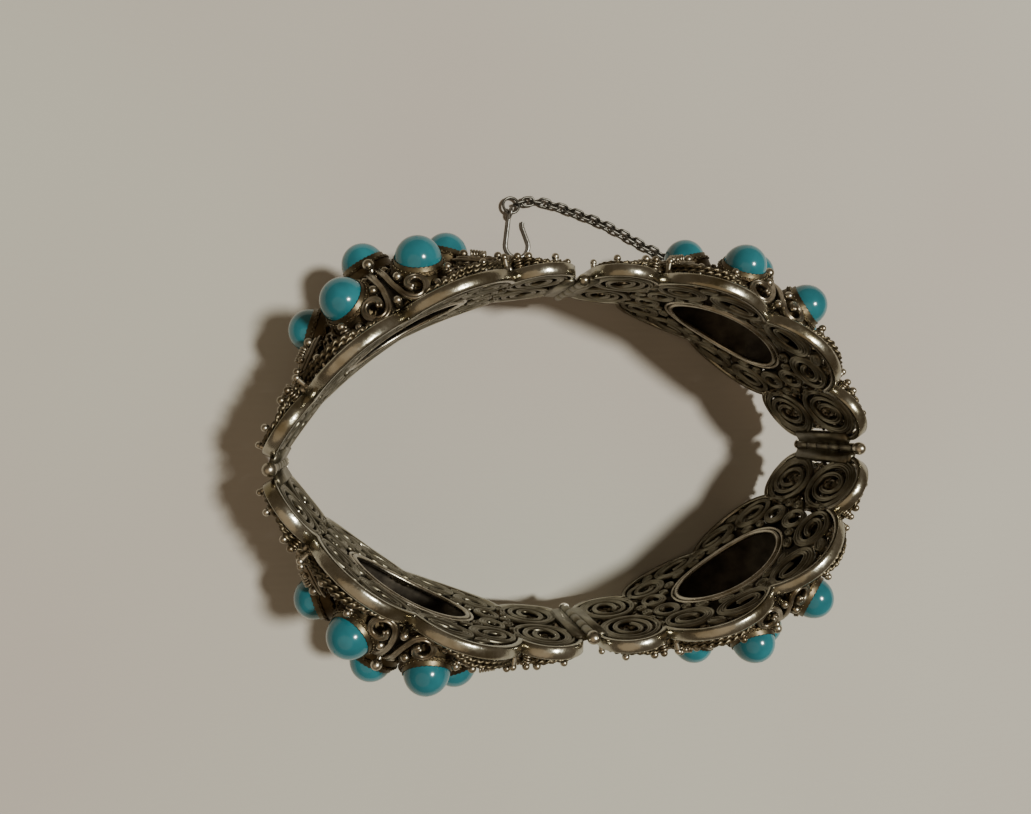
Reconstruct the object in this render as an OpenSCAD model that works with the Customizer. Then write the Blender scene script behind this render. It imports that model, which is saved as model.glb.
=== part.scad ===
// Hinged panel bracelet in silver filigree with round turquoise stones.
// It stands on the side edges of its panels. The origin is the centre of the
// wrist opening, at the height of the surface that it stands on. +X runs from
// the left hinge to the right hinge and +Z up, along the hinge pins.
// Each panel is drawn in its own frame: x along the chord between its two
// hinge pins, y outwards, z up from the middle of its width.

/* [Bracelet] */
// Distance between the two hinge pins of one panel
chord = 46; // [45:0.5:47]
// Half of the inside angle between the panels at the right hinge, in degrees
half_angle = 30.4; // [26:0.2:34]
// Width of the bracelet across the large lobes
panel_w = 29.2; // [28.8:0.1:29.6]

/* [Panel plate] */
// Radius of the curved inner face
floor_r = 45.2; // [44.8:0.1:46]
// Height of the inner face above the chord at the middle of the panel
bow = 6.5; // [6.2:0.1:6.8]
// Thickness of the pierced plate
floor_t = 0.7; // [0.6:0.05:0.9]
// Thickness of the edge band
rim_t = 0.8; // [0.7:0.05:0.9]
// Height of the edge band above the inner face
rim_h = 2.2; // [2:0.1:2.5]
// Radius of the large lobes
lobe_r = 8.6; // [8.5:0.05:8.7]
// Radius of the small end lobes
end_lobe_r = 4.4; // [4.3:0.05:4.5]
// Half length of the oval opening
oval_a = 8.2; // [7.8:0.1:8.4]
// Half height of the oval opening
oval_b = 6.2; // [5.8:0.1:6.4]

/* [Dome] */
// Radius of the dome's outer surface
dome_r = 13; // [12.8:0.1:13.1]
// Depth of the dome's centre below the top of the inner face
dome_drop = 5; // [4.9:0.1:5.2]
// Thickness of the dome
dome_t = 0.7; // [0.6:0.05:0.8]
// Tilt of the ring of stones from the middle of the dome, in degrees
ring_tilt = 43; // [42:0.5:44]

/* [Stones] */
// Diameter of a stone
stone_d = 5.7; // [5.4:0.1:5.8]
// Height of a stone above its seat
stone_h = 3.2; // [2.8:0.1:3.4]
// Height of the seat above the dome
seat_h = 1.75; // [1.6:0.05:1.9]
// Height of the bezel above the seat
bezel_h = 0.85; // [0.7:0.05:0.9]

/* [Hinges] */
// Diameter of a hinge pin
pin_d = 1.0; // [0.9:0.05:1.1]
// Outer diameter of a hinge knuckle
knuckle_d = 2.0; // [1.9:0.05:2.05]
// Length of a row of knuckles
hinge_l = 13.2; // [12.8:0.1:13.6]
// Diameter of the ball on top of a hinge pin
ball_d = 1.8; // [1.6:0.1:1.9]

/* [Chain] */
// Diameter of the chain's wire
link_wire = 0.38; // [0.36:0.02:0.4]
// Outer length of a link
link_l = 2.4; // [2.35:0.05:2.45]
// Outer width of a link
link_w = 1.65; // [1.6:0.05:1.7]
// Diameter of the hook's wire
hook_wire = 0.6; // [0.5:0.05:0.65]

/* [Hidden] */
$fn = 48;
half_w = panel_w / 2;
half_chord = chord / 2;
half_x = half_chord * cos(half_angle);
half_y = half_chord * sin(half_angle);
floor_cy = bow - floor_r;
dome_cy = bow - dome_drop;

// Centres of the lobes, in x and z
lobe_x = 6.2;
lobe_z = half_w - lobe_r;
end_lobe_x = 17.6;
// Distance from the middle of the panel to its end, short of the pin
end_x = half_chord - 1.1;
deep = 30;

// Spiral slots of one quarter of the plate: centre x, centre z, radius
SP_X = 0;
SP_Z = 1;
SP_R = 2;
SPIRALS = [
    [4.9, 9.8, 3.1],
    [10.9, 5.9, 2.7],
    [17.3, 4.6, 3.7]
];
// Small slot between the lobes, on the middle line of the panel
mid_slot_x = 11.6;
mid_slot_r = 1.7;
slot_w = 0.7;
web_w = 0.8;
slot_turn = -60;

// Collar under a stone: depth of its foot below the dome's surface, radius of its foot, width of its wall
// at the top and height of its top above the seat
foot_depth = 0.9;
collar_r = 4.1;
collar_wall = 0.5;
collar_over = 0.05;
// Bore inside a collar: depth below the dome's surface, height and radius
bore_depth = 2.2;
bore_h = 3.1;
bore_r = 2.7;
// Bezel round a stone: width of its wall, how far it starts below the seat, and the room for the stone
bezel_wall = 0.35;
bezel_root = 0.2;
stone_play = 0.08;
seat_gap = 0.05;

// Grains of the outside: tilt from the middle of the dome, turn, diameter
GR_TILT = 0;
GR_TURN = 1;
GR_D = 2;
GRAINS = [
    [20, 74, 1.1],
    [20, 106, 1.1],
    [50, 77, 1.0],
    [50, 103, 1.0],
    [61, 83, 0.9],
    [61, 97, 0.9],
    [60, 30, 1.2],
    [60, 150, 1.2],
    [68, 48, 1.1],
    [68, 132, 1.1]
];
// Scrolls that run down the dome, as a pair of wires
scroll_gap = 1.7;
scroll_wire = 0.8;
scroll_from = 19;
scroll_to = 47;
curl_tilt = 50;
curl_turn = 13;
curl_r = 1.15;
curl_wire = 0.6;
// Height of the middle of the scrolls, and of the curls and grains, above the dome's surface
scroll_lift = 0.25;
grain_lift = 0.2;

// End ornament on the small lobes: two coils of wire, a loop and a ball along the middle line, and a
// grain on each side. Names in x and z are places, names in h are heights above the plate.
coil_x = [14.2, 17.7];
coil_d = 1.5;
coil_l = 3.4;
coil_sink = 0.2;
loop_x = 16;
loop_h = 1.0;
loop_r = 1.5;
loop_wire = 0.7;
tip_x = 19.9;
tip_h = 0.35;
tip_d = 1.3;
side_grain_z = 4.6;
side_grain_h = 0.3;
side_grain_d = 1.1;

// Hinge rows: start and end of each knuckle, as shares of the half length
OUTER_ROWS = [[-1, -0.6], [-0.2, 0.2], [0.6, 1]];
INNER_ROWS = [[-0.575, -0.225], [0.225, 0.575]];
// Tab that joins a knuckle to the end of the plate: x and y from the pin's axis
TAB = [[-1.9, 0.85], [-1.9, 1.65], [-0.9, 1.65], [0.2, 0.92], [0.2, 0.2], [-0.8, 0.2]];
pin_play = 0.05;
// Rivet head under a hinge pin, and the clasp pin's low round head
head_h = 0.35;
head_gap = 0.05;
rivet_share = 0.8;
clasp_head_r = 0.9;
clasp_head_drop = 0.25;
clasp_head_root = 0.2;
// Share of its diameter by which the middle of a hinge pin's ball stands above the knuckles
ball_share = 0.45;

// Panels: name, turn of the panel's frame, side of the middle in x and y
P_NAME = 0;
P_TURN = 1;
P_SIDE = 2;
PANELS = [
    ["ul", half_angle, [-1, 1]],
    ["ur", -half_angle, [1, 1]],
    ["lr", 180 + half_angle, [1, -1]],
    ["ll", 180 - half_angle, [-1, -1]]
];
STONES = ["centre", "ring1", "ring2", "ring3", "ring4", "ring5", "ring6"];

// Ring on the edge band that holds the chain, in the upper right panel's frame
lug_at = [-6.2, 8.7, -13.1];
lug_r = 0.85;
lug_wire = 0.44;
// Hook: its round bowl, its sides and its upright eye
bowl_at = [-4.35, 32.4];
bowl_r = 1.85;
bowl_left = 172;
bowl_right = 380;
stem_l = 4.8;
point_l = 2.3;
tip_r = 1.4;
tip_turn = 40;
eye_r = 0.75;
eye_wire = 0.46;
hook_z = hook_wire / 2 + 0.03;
joint_gap = 0.08;
// Jump ring between the chain and the hook's eye
jump_r = 1.25;
jump_wire = 0.44;
jump_z = 0.9;
jump_lean = 7;
// Direction of the chain as it leaves the panel, and as it reaches the jump ring
start_aim = [0.496, 0.845, -0.2];
end_aim = [-0.97, -0.243, 0];
// Route of the chain between its two ends, along the table
CHAIN_ROUTE = [
    [20.3, 24.6, 0.85],
    [21.4, 26.8, 0.65],
    [21.6, 28.9, 0.65],
    [20.6, 30.8, 0.65],
    [18.7, 32.0, 0.65],
    [16.2, 33.1, 0.65],
    [13.8, 34.4, 0.65],
    [9.7, 36.3, 0.65],
    [5.7, 37.7, 0.65],
    [2.6, 38.7, 0.65],
    [-0.6, 39.4, 0.7],
    [-2.6, 39.4, 0.85]
];
// Room between the wires of two links
link_gap = 0.13;
// Links over which the chain turns from its ends to lying at 45 degrees
twist_links = 4;

// Places its children in the frame of panel p
module at_panel(p) {
    translate([p[P_SIDE][0] * half_x, p[P_SIDE][1] * half_y, half_w])
        rotate([0, 0, p[P_TURN]])
            children();
}

// Draws its children in all four quarters of the panel
module quarters() {
    for (sx = [0, 1])
        for (sz = [0, 1])
            mirror([sx, 0, 0]) mirror([0, 0, sz]) children();
}

// Turns an outline drawn in x and z into a block that passes through the panel
module through(y0 = -deep, y1 = deep) {
    translate([0, y1, 0])
        rotate([90, 0, 0])
            linear_extrude(height = y1 - y0)
                children();
}

// Outline of the panel, drawn smaller by inset
module outline(inset = 0) {
    for (sx = [-1, 1])
        for (sz = [-1, 1]) {
            translate([sx * lobe_x, sz * lobe_z]) circle(r = lobe_r - inset, $fn = 96);
            translate([sx * end_lobe_x, sz * lobe_z]) circle(r = end_lobe_r - inset, $fn = 64);
        }
    square([2 * (end_x - inset), 2 * lobe_z], center = true);
    square([2 * lobe_x, 2 * (lobe_z + 0.5 * lobe_r)], center = true);
}

// Outline without what runs past the straight ends
module trimmed_outline(inset = 0) {
    intersection() {
        outline(inset);
        square([2 * (end_x - inset), 2 * panel_w], center = true);
    }
}

// Part of a curved shell around the wrist, from radius r0 to r1
module shell(r0, r1) {
    translate([0, floor_cy, -half_w - 1])
        difference() {
            cylinder(h = panel_w + 2, r = r1, $fn = 180);
            translate([0, 0, -1]) cylinder(h = panel_w + 4, r = r0, $fn = 180);
        }
}

// Slot of one spiral: two open rings, bridged on opposite sides
module spiral_slot(r) {
    difference() {
        circle(r = r, $fn = 12);
        circle(r = r - slot_w, $fn = 12);
        translate([-web_w / 2, 0]) square([web_w, r + 1]);
    }
    difference() {
        circle(r = r - slot_w - web_w, $fn = 12);
        if (r > 2 * slot_w + web_w + 0.4) circle(r = r - 2 * slot_w - web_w, $fn = 12);
        translate([-web_w / 2, -r - 1]) square([web_w, r + 1]);
    }
}

module oval() {
    polygon([for (i = [0:23]) [oval_a * cos(i * 15), oval_b * sin(i * 15)]]);
}

module pierced_plate() {
    difference() {
        intersection() {
            shell(floor_r, floor_r + floor_t);
            through() trimmed_outline();
        }
        through() oval();
        quarters()
            through()
                for (s = SPIRALS)
                    translate([s[SP_X], s[SP_Z]]) rotate([0, 0, slot_turn]) spiral_slot(s[SP_R]);
        for (sx = [-1, 1])
            through()
                translate([sx * mid_slot_x, 0])
                    difference() {
                        circle(r = mid_slot_r, $fn = 12);
                        circle(r = mid_slot_r - slot_w, $fn = 12);
                        translate([0, -web_w / 2]) square([mid_slot_r + 1, web_w]);
                    }
    }
}

module edge_band() {
    intersection() {
        shell(floor_r, floor_r + rim_h);
        difference() {
            through() trimmed_outline();
            through(-deep - 1, deep + 1) trimmed_outline(rim_t);
        }
    }
}

// Places its children on the dome, with +z away from the dome's centre
module on_dome(tilt, turn) {
    translate([0, dome_cy, 0])
        rotate([0, -turn, 0])
            rotate([0, 0, -tilt])
                rotate([-90, 0, 0])
                    children();
}

// Places its children on the inner face at distance x from the middle
module on_floor(x, z) {
    translate([0, floor_cy, z])
        rotate([0, 0, -asin(x / floor_r)])
            translate([0, floor_r, 0])
                children();
}

module each_seat() {
    on_dome(0, 0) children();
    for (i = [0:5])
        on_dome(ring_tilt, i * 60) children();
}

module collar() {
    translate([0, 0, dome_r - foot_depth])
        cylinder(h = foot_depth + seat_h + collar_over, r1 = collar_r, r2 = stone_d / 2 + collar_wall);
    translate([0, 0, dome_r + seat_h - bezel_root])
        cylinder(h = bezel_root + bezel_h, r = stone_d / 2 + bezel_wall);
}

module dome() {
    difference() {
        union() {
            difference() {
                translate([0, dome_cy, 0]) sphere(r = dome_r, $fn = 120);
                translate([0, floor_cy, -deep]) cylinder(h = 2 * deep, r = floor_r + floor_t / 2, $fn = 180);
            }
            each_seat() collar();
        }
        translate([0, dome_cy, 0]) sphere(r = dome_r - dome_t, $fn = 120);
        each_seat() {
            translate([0, 0, dome_r + seat_h]) cylinder(h = bezel_h + 1, r = stone_d / 2 + stone_play);
            translate([0, 0, dome_r - bore_depth]) cylinder(h = bore_h, r = bore_r);
        }
    }
}

// One side's pair of scrolls, with their curls
module scrolls() {
    for (sx = [-1, 1]) {
        translate([sx * scroll_gap / 2, dome_cy, 0])
            rotate([0, 90, 0])
                rotate([0, 0, 90 + scroll_from])
                    rotate_extrude(angle = scroll_to - scroll_from, $fn = 96)
                        translate([dome_r + scroll_lift, 0]) circle(d = scroll_wire, $fn = 24);
        on_dome(curl_tilt, 90 + sx * curl_turn)
            translate([0, 0, dome_r + grain_lift])
                rotate_extrude($fn = 32)
                    translate([curl_r, 0]) circle(d = curl_wire, $fn = 20);
    }
}

module grains() {
    for (sz = [0, 1])
        mirror([0, 0, sz])
            for (g = GRAINS)
                on_dome(g[GR_TILT], g[GR_TURN])
                    translate([0, 0, dome_r + grain_lift]) sphere(d = g[GR_D], $fn = 24);
}

// Ornament between the dome and one hinge
module end_ornament() {
    for (x = coil_x)
        on_floor(x, 0)
            translate([0, floor_t + 0.5 * coil_d - coil_sink, -coil_l / 2])
                cylinder(h = coil_l, d = coil_d, $fn = 24);
    on_floor(loop_x, 0)
        translate([0, floor_t + loop_h, 0])
            rotate([-90, 0, 0])
                rotate_extrude($fn = 32)
                    translate([loop_r, 0]) circle(d = loop_wire, $fn = 20);
    on_floor(tip_x, 0) translate([0, floor_t + tip_h, 0]) sphere(d = tip_d, $fn = 24);
    for (sz = [-1, 1])
        on_floor(end_lobe_x, sz * side_grain_z)
            translate([0, floor_t + side_grain_h, 0]) sphere(d = side_grain_d, $fn = 24);
}

// Knuckles of one end, at the pin on the +x side, each on a tab from the plate
module knuckles(rows) {
    for (r = rows)
        translate([half_chord, 0, r[0] * hinge_l / 2])
            linear_extrude(height = (r[1] - r[0]) * hinge_l / 2) {
                circle(d = knuckle_d);
                polygon(TAB);
            }
}

module knuckle_bore() {
    translate([half_chord, 0, -hinge_l]) cylinder(h = 2 * hinge_l, d = pin_d + 2 * pin_play);
}

module panel(p) {
    color("silver")
        at_panel(p)
            difference() {
                union() {
                    pierced_plate();
                    edge_band();
                    dome();
                    for (sz = [0, 1])
                        mirror([0, 0, sz]) scrolls();
                    grains();
                    for (sx = [0, 1])
                        mirror([sx, 0, 0]) end_ornament();
                    knuckles(INNER_ROWS);
                    mirror([1, 0, 0]) knuckles(OUTER_ROWS);
                }
                knuckle_bore();
                mirror([1, 0, 0]) knuckle_bore();
            }
}

// The ring on the edge band of panel p, which holds the chain
module chain_lug(p) {
    color("silver")
        at_panel(p)
            translate(lug_at)
                rotate([0, 90, 0])
                    rotate_extrude($fn = 32)
                        translate([lug_r, 0]) circle(d = lug_wire, $fn = 16);
}

// A round stone with a high top: a girdle and a cap of one curve
module cabochon() {
    girdle = 0.6;
    cap = stone_h - girdle;
    cap_r = (pow(stone_d / 2, 2) + cap * cap) / (2 * cap);
    rotate_extrude($fn = 64)
        union() {
            square([stone_d / 2, girdle]);
            intersection() {
                translate([0, girdle + cap - cap_r]) circle(r = cap_r, $fn = 96);
                translate([0, girdle]) square([stone_d / 2, cap + 1]);
            }
        }
}

module stone(p, i) {
    color("turquoise")
        at_panel(p)
            on_dome(i == 0 ? 0 : ring_tilt, (i - 1) * 60)
                translate([0, 0, dome_r + seat_h + seat_gap]) cabochon();
}

// A hinge pin at side [x, y], with a ball above and a rivet head below
module hinge_pin(side) {
    reach = hinge_l / 2 + head_gap;
    color("silver")
        translate([side[0] * 2 * half_x, side[1] * 2 * half_y, half_w]) {
            translate([0, 0, -reach - head_h / 2]) cylinder(h = 2 * reach + head_h, d = pin_d);
            translate([0, 0, -reach - head_h]) cylinder(h = head_h, d = rivet_share * knuckle_d);
            translate([0, 0, reach + ball_share * ball_d]) sphere(d = ball_d, $fn = 32);
        }
}

// The pin that pulls out, with a low round head and a plain lower end
module clasp_pin() {
    reach = hinge_l / 2 + head_gap;
    color("silver")
        translate([0, 2 * half_y, half_w]) {
            translate([0, 0, -hinge_l / 2]) cylinder(h = hinge_l / 2 + reach + clasp_head_root, d = pin_d);
            translate([0, 0, reach])
                intersection() {
                    translate([0, 0, -clasp_head_drop]) sphere(r = clasp_head_r, $fn = 32);
                    cylinder(h = clasp_head_r, r = clasp_head_r);
                }
        }
}

function unit(v) = v / norm(v);
function on_ring(at, r, a) = [at[0] + r * cos(a), at[1] + r * sin(a)];

// The hook's left side and eye, the jump ring, and where the chain starts and ends
left_aim = bowl_left - 90;
right_aim = bowl_right - 360 + 90;
hook_left = on_ring(bowl_at, bowl_r, bowl_left);
hook_right = on_ring(bowl_at, bowl_r, bowl_right);
eye_at = on_ring(hook_left, stem_l, left_aim);
jump_at = concat(on_ring(eye_at, jump_r, left_aim), [jump_z]);
ring_reach = (link_gap + link_wire + jump_wire) / 2;
chain_end = jump_at - (jump_r - ring_reach) * end_aim;
lug_world = [
    half_x + lug_at[0] * cos(half_angle) + lug_at[1] * sin(half_angle),
    half_y - lug_at[0] * sin(half_angle) + lug_at[1] * cos(half_angle),
    half_w + lug_at[2]
];
chain_start = lug_world + (lug_r - ring_reach) * start_aim;
route = concat([chain_start], CHAIN_ROUTE, [chain_end]);

// Smooth curve through the route: point at share t of the stretch from i to i + 1
function route_point(r, i, t) =
    let (a = r[max(i - 1, 0)], b = r[i], c = r[i + 1], d = r[min(i + 2, len(r) - 1)])
        0.5 * (2 * b + (c - a) * t + (2 * a - 5 * b + 4 * c - d) * t * t
            + (3 * b - a - 3 * c + d) * t * t * t);
route_steps = 12;
route_line = concat(
    [for (i = [0:len(route) - 2]) for (k = [0:route_steps - 1]) route_point(route, i, k / route_steps)],
    [chain_end]
);
function run_lengths(line, i = 1, sum = [0]) =
    i >= len(line) ? sum : run_lengths(line, i + 1, concat(sum, [sum[i - 1] + norm(line[i] - line[i - 1])]));
route_runs = run_lengths(route_line);
route_length = route_runs[len(route_runs) - 1];
function run_index(d, i = 0) = i >= len(route_runs) - 2 || route_runs[i + 1] >= d ? i : run_index(d, i + 1);
function at_run(d) =
    let (i = run_index(d), t = (d - route_runs[i]) / (route_runs[i + 1] - route_runs[i]))
        route_line[i] + t * (route_line[i + 1] - route_line[i]);
link_count = 2 * ceil(route_length / (link_l - 2 * link_wire - link_gap) / 2);
link_pitch = route_length / link_count;
// Turn of link k about the chain: flat at the panel, upright at the jump ring
function link_roll(k) =
    90 * (k % 2) - 45 * min(1, k / twist_links, (link_count - 1 - k) / twist_links);

// One link, in the x, y plane and along x: two half rings and two bars
link_end_r = (link_w - link_wire) / 2;
link_reach = link_l / 2 - link_wire / 2 - link_end_r;

module link() {
    for (turn = [0, 180])
        rotate([0, 0, turn]) {
            translate([link_reach, 0, 0])
                rotate([0, 0, -90])
                    rotate_extrude(angle = 180, $fn = 24)
                        translate([link_end_r, 0]) circle(d = link_wire, $fn = 16);
            translate([-link_reach, link_end_r, 0])
                rotate([0, 90, 0]) cylinder(h = 2 * link_reach, d = link_wire, $fn = 16);
        }
}

// Places its children at mid, with +x along the unit vector x
module along(mid, x, roll) {
    translate(mid)
        rotate([0, 0, atan2(x[1], x[0])])
            rotate([0, -asin(x[2]), 0])
                rotate([roll, 0, 0])
                    children();
}

module chain() {
    color("dimgray")
        for (k = [0:link_count - 1])
            let (a = at_run(k * link_pitch), b = at_run((k + 1) * link_pitch))
                along((a + b) / 2, unit(b - a), link_roll(k)) link();
}

module jump_ring() {
    color("silver")
        translate(jump_at)
            rotate([-jump_lean, 0, 0])
                rotate_extrude($fn = 40)
                    translate([jump_r, 0]) circle(d = jump_wire, $fn = 16);
}

// Part of a ring of wire lying flat, from angle a0 to angle a1
module wire_arc(at, r, a0, a1) {
    translate([at[0], at[1], hook_z])
        rotate([0, 0, a0])
            rotate_extrude(angle = a1 - a0, $fn = 48)
                translate([r, 0]) circle(d = hook_wire, $fn = 24);
}

// Straight wire lying flat, from a point, at an angle, with a soldered joint at each end
module wire_bar(at, angle, length) {
    translate([at[0], at[1], hook_z])
        rotate([0, 0, angle]) {
            translate([joint_gap, 0, 0])
                rotate([0, 90, 0]) cylinder(h = length - 2 * joint_gap, d = hook_wire, $fn = 24);
            for (x = [0, length])
                translate([x, 0, 0]) sphere(d = hook_wire + 0.06, $fn = 24);
        }
}

// The hook lies flat, with its eye upright round the jump ring
module hook() {
    point_at = on_ring(hook_right, point_l, right_aim);
    tip_centre = on_ring(point_at, tip_r, right_aim - 90);
    color("silver") {
        wire_arc(bowl_at, bowl_r, bowl_left, bowl_right);
        wire_bar(hook_left, left_aim, stem_l);
        wire_bar(hook_right, right_aim, point_l);
        wire_arc(tip_centre, tip_r, right_aim + 90 - tip_turn, right_aim + 90);
        translate([eye_at[0], eye_at[1], hook_z + eye_r])
            rotate([0, 90, left_aim - 90])
                rotate_extrude($fn = 32)
                    translate([eye_r, 0]) circle(d = eye_wire, $fn = 16);
    }
}

for (p = PANELS)
    union() {
        panel(p);
        if (p[P_NAME] == "ur") chain_lug(p);
    }
for (p = PANELS)
    for (i = [0:len(STONES) - 1])
        stone(p, i);
hinge_pin([-1, 0]);  // hinge_pin_left
hinge_pin([0, -1]);  // hinge_pin_bottom
hinge_pin([1, 0]);  // hinge_pin_right
clasp_pin();
chain();
jump_ring();
hook();
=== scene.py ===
"""Silver filigree panel bracelet with turquoise stones, standing on its side edges.

Sizes are in millimetres in a panel's own frame: x along the chord between its two hinge pins,
y outwards from the wrist, z up from the middle of its width. They become metres when a piece is placed.
"""

import math

import bpy
import numpy as np
from mathutils import Matrix, Vector


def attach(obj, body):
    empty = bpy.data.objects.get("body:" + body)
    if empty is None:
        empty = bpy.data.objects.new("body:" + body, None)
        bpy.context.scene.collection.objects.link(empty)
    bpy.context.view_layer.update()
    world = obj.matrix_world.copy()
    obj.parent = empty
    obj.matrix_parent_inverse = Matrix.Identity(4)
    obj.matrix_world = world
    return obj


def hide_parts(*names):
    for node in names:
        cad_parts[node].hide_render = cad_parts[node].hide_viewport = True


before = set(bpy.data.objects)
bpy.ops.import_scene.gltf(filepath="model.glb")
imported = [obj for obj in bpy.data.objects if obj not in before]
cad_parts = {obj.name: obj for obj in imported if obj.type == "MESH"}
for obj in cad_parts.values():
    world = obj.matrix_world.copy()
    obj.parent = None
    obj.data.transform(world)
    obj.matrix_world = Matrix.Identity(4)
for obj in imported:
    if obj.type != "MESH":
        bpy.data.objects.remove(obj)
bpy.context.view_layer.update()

MM = 0.001

# Bracelet: a panel's chord from pin to pin, its turn in degrees, half its width, and its chord's middle
CHORD = 46.0
HALF_ANGLE = 30.4
HALF_W = 14.6
HALF_X = CHORD / 2 * math.cos(math.radians(HALF_ANGLE))
HALF_Y = CHORD / 2 * math.sin(math.radians(HALF_ANGLE))
PANELS = [
    # name, body, turn about z in degrees, side in x and y
    ("ul", "panel_upper_left", HALF_ANGLE, (-1, 1)),
    ("ur", "panel_upper_right", -HALF_ANGLE, (1, 1)),
    ("lr", "panel_lower_right", 180 + HALF_ANGLE, (1, -1)),
    ("ll", "panel_lower_left", 180 - HALF_ANGLE, (-1, -1)),
]

# Plate: radius of its inner face, the bow of that face over the chord, and its middle
PLATE_R = 45.2
BOW = 6.5
PLATE_CY = BOW - PLATE_R
# Edge band: thickness and height, then its outer lobes and end, and the half axes of the oval opening
RIM_T = 0.8
RIM_H = 1.6
LOBE_R = 8.6
LOBE_X = 6.2
LOBE_Z = HALF_W - LOBE_R
END_LOBE_R = 4.4
END_LOBE_X = 17.8
END_X = CHORD / 2 - 0.8
OVAL_A = 8.2
OVAL_B = 6.2

# Dome, with the tilts in degrees where it starts at the top and where it meets the plate
DOME_R = 13.0
DOME_CY = BOW - 5.0
DOME_WALL = 0.7
DOME_TOP = 0.4
DOME_EDGE = 66.0
DOME_SIDES = 72

# Tilt and turn of the seven stones on the dome
RING_TILT = 43.0
SEATS = [(0.0, 0.0)] + [(RING_TILT, 60.0 * i) for i in range(6)]

# Hinges, with the ends of the knuckles as shares of half the hinge's length
PIN_R = 0.5
PIN_PLAY = 0.05
KNUCKLE_R = 0.7
KNUCKLE_EDGE = 0.08
HINGE_L = 13.2
OUTER_ROWS = [(-1, -0.6), (-0.2, 0.2), (0.6, 1)]
INNER_ROWS = [(-0.575, -0.225), (0.225, 0.575)]

# Wires: the flat wire of the back, the rope with its twist in degrees per millimetre, and the steps along
# a wire and along a rope
FLAT_W = 0.74
FLAT_H = 0.6
FLAT_PITCH = 1.2
ROPE_R = 0.3
ROPE_TURN = 170.0
STEP = 0.48
ROPE_STEP = 0.27
# Rings and sides of the balls, from the large ones to the finest grains
LARGE = (10, 14)
MIDDLING = (8, 12)
SMALL = (6, 8)
FINE = (4, 6)

QUARTERS = [(1, 1), (1, -1), (-1, 1), (-1, -1)]


# Building meshes

class Shape:
    """Vertices and faces of one piece."""

    def __init__(self):
        self.points = []
        self.faces = []
        self.count = 0

    def add(self, points, faces):
        self.points.append(np.asarray(points, float))
        self.faces.extend((np.asarray(faces) + self.count).tolist())
        self.count += len(points)

    def cap(self, indices):
        """One face over points that the next add brings."""
        self.faces.append([i + self.count for i in indices])

    def mirrored(self, sx, sz):
        """A copy mirrored in x and z, as asked by the signs."""
        out = Shape()
        flips = np.array([sx, 1, sz])
        out.points = [p * flips for p in self.points]
        out.faces = [f[::-1] for f in self.faces] if sx * sz < 0 else list(self.faces)
        out.count = self.count
        return out

    def join(self, other):
        for points in other.points:
            self.points.append(points)
        self.faces.extend([[i + self.count for i in f] for f in other.faces])
        self.count += other.count

    def in_quarters(self):
        out = Shape()
        for sx, sz in QUARTERS:
            out.join(self.mirrored(sx, sz))
        return out

    def mesh(self, name, material):
        data = bpy.data.meshes.new(name)
        data.from_pydata((np.concatenate(self.points) * MM).tolist(), [], self.faces)
        data.polygons.foreach_set("use_smooth", [True] * len(data.polygons))
        data.materials.append(material)
        data.update()
        return data


def unit(v):
    return v / np.linalg.norm(v, axis=-1, keepdims=True)


def sweep(shape, path, up, section, closed=False, twist=0.0):
    """Sweeps a cross-section of (side, up) points along a path, with caps if it is open.
    twist turns the section, in degrees per millimetre."""
    path = np.asarray(path, float)
    up = np.broadcast_to(np.asarray(up, float), path.shape)
    ahead = np.roll(path, -1, 0) - np.roll(path, 1, 0)
    if not closed:
        ahead[0] = path[1] - path[0]
        ahead[-1] = path[-1] - path[-2]
    ahead = unit(ahead)
    side = unit(np.cross(ahead, up))
    lift = np.cross(side, ahead)
    steps = np.linalg.norm(np.diff(path, axis=0), axis=1)
    run = np.concatenate([[0], np.cumsum(steps)])
    turn = np.radians(twist) * run
    if closed and twist:
        whole = run[-1] + np.linalg.norm(path[0] - path[-1])
        half_turns = max(1, round(np.radians(twist) * whole / np.pi))
        turn = run * half_turns * np.pi / whole
    section = np.asarray(section, float)
    a = section[None, :, 0] * np.cos(turn)[:, None] - section[None, :, 1] * np.sin(turn)[:, None]
    b = section[None, :, 0] * np.sin(turn)[:, None] + section[None, :, 1] * np.cos(turn)[:, None]
    rings = path[:, None, :] + side[:, None, :] * a[:, :, None] + lift[:, None, :] * b[:, :, None]
    n, m = len(path), len(section)
    i = np.arange(n if closed else n - 1)[:, None]
    j = np.arange(m)[None, :]
    after = (i + 1) % n
    beside = (j + 1) % m
    quads = np.stack([i * m + j, after * m + j, after * m + beside, i * m + beside], -1).reshape(-1, 4)
    if not closed:
        shape.cap(list(range(m)))
        shape.cap([(n - 1) * m + k for k in reversed(range(m))])
    shape.add(rings.reshape(-1, 3), quads)


def full_turn(count):
    """Angles of a closed round."""
    return np.linspace(0, 2 * np.pi, count, endpoint=False)


def round_section(r, sides):
    angles = [2 * math.pi * k / sides for k in range(sides)]
    return [(r * math.cos(a), r * math.sin(a)) for a in angles]


# Outline of two strands side by side, seen end on, and its half width as a multiple of the rope's radius
STRANDS = [(1.0, 0.0), (0.65, 0.52), (0.0, 0.38), (-0.65, 0.52), (-1.0, 0.0),
           (-0.65, -0.52), (0.0, -0.38), (0.65, -0.52)]
STRAND_SPREAD = 1.35


def rope_section(r):
    return [(STRAND_SPREAD * r * a, STRAND_SPREAD * r * b) for a, b in STRANDS]


def rope_loop(shape, path, up, r):
    """A closed loop of twisted rope."""
    sweep(shape, path, up, rope_section(r), closed=True, twist=ROPE_TURN)


# Right half of two fine wires soldered side by side, seen end on, and the height of the groove between
# them, as shares of half the pair's width and of its height
PAIR_HALF = [(1.0, 0.0), (1.0, 0.72), (0.72, 1.0), (0.3, 0.92)]
PAIR_GROOVE = 0.62


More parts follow.
